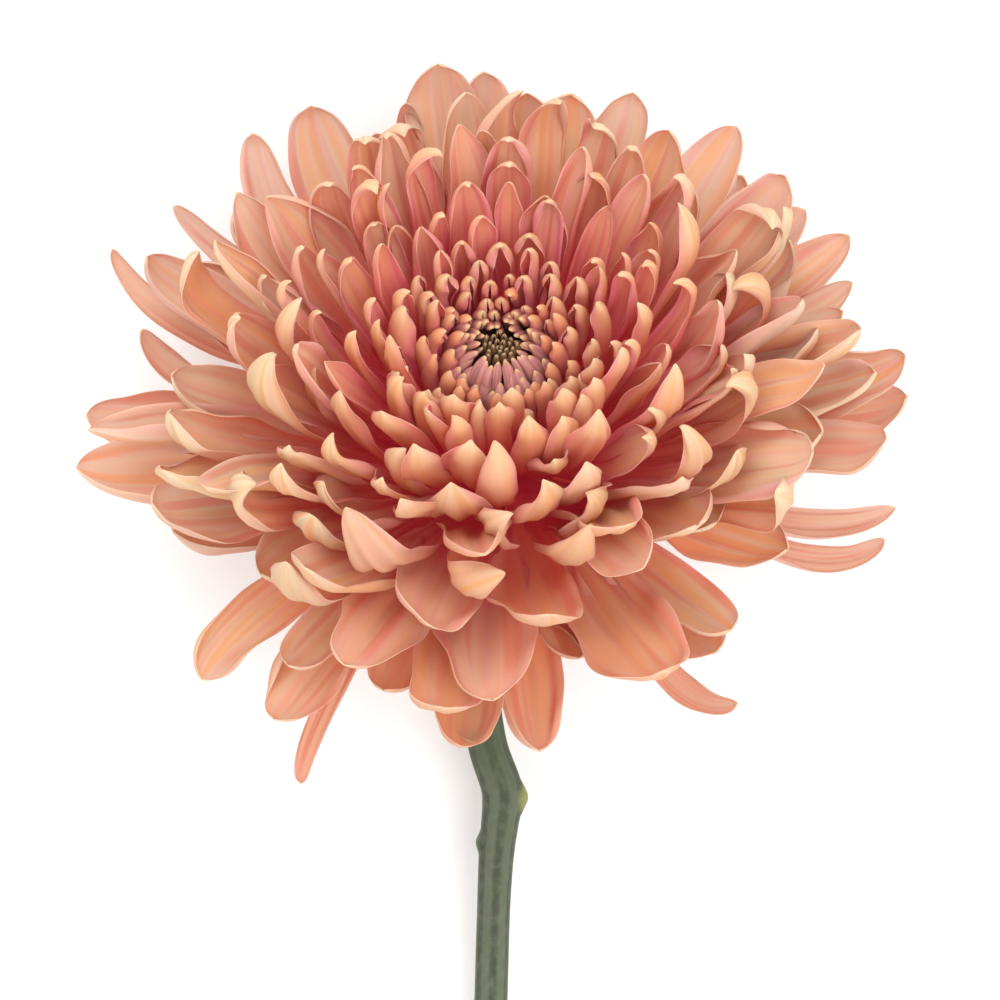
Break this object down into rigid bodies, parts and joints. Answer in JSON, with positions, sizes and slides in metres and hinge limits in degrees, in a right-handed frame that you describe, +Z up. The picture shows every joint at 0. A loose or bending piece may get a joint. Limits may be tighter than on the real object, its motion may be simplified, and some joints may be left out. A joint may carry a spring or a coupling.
{
  "type": "disbud chrysanthemum",
  "caption": "Cut disbud chrysanthemum lying down: a large globe of incurving coral florets round a small open bowl, on a short ribbed green stem, for floral displays.",
  "frame": {"origin": "centre of the bounding box, on the surface that the flower lies on", "axes": "+Z up from the surface; +Y along the stem towards the bloom; +X to the right, seen from above with the bloom at the top"},
  "size_m": [0.1266, 0.2146, 0.086],
  "materials": {
    "coral_floret": "soft matt coral, paler and creamier at the rims, deep red in the cups",
    "mauve_floret": "matt mauve brown, olive green at the youngest buds",
    "green_bract": "matt leaf green with paler papery edges",
    "stem_green": "matt grey green, ribbed along its length, with fine hairs"
  },
  "bodies": {
    "root": {"ray_florets": "coral_floret", "centre_florets": "mauve_floret", "involucre": "green_bract", "stem": "stem_green"}
  },
  "joints": []
}
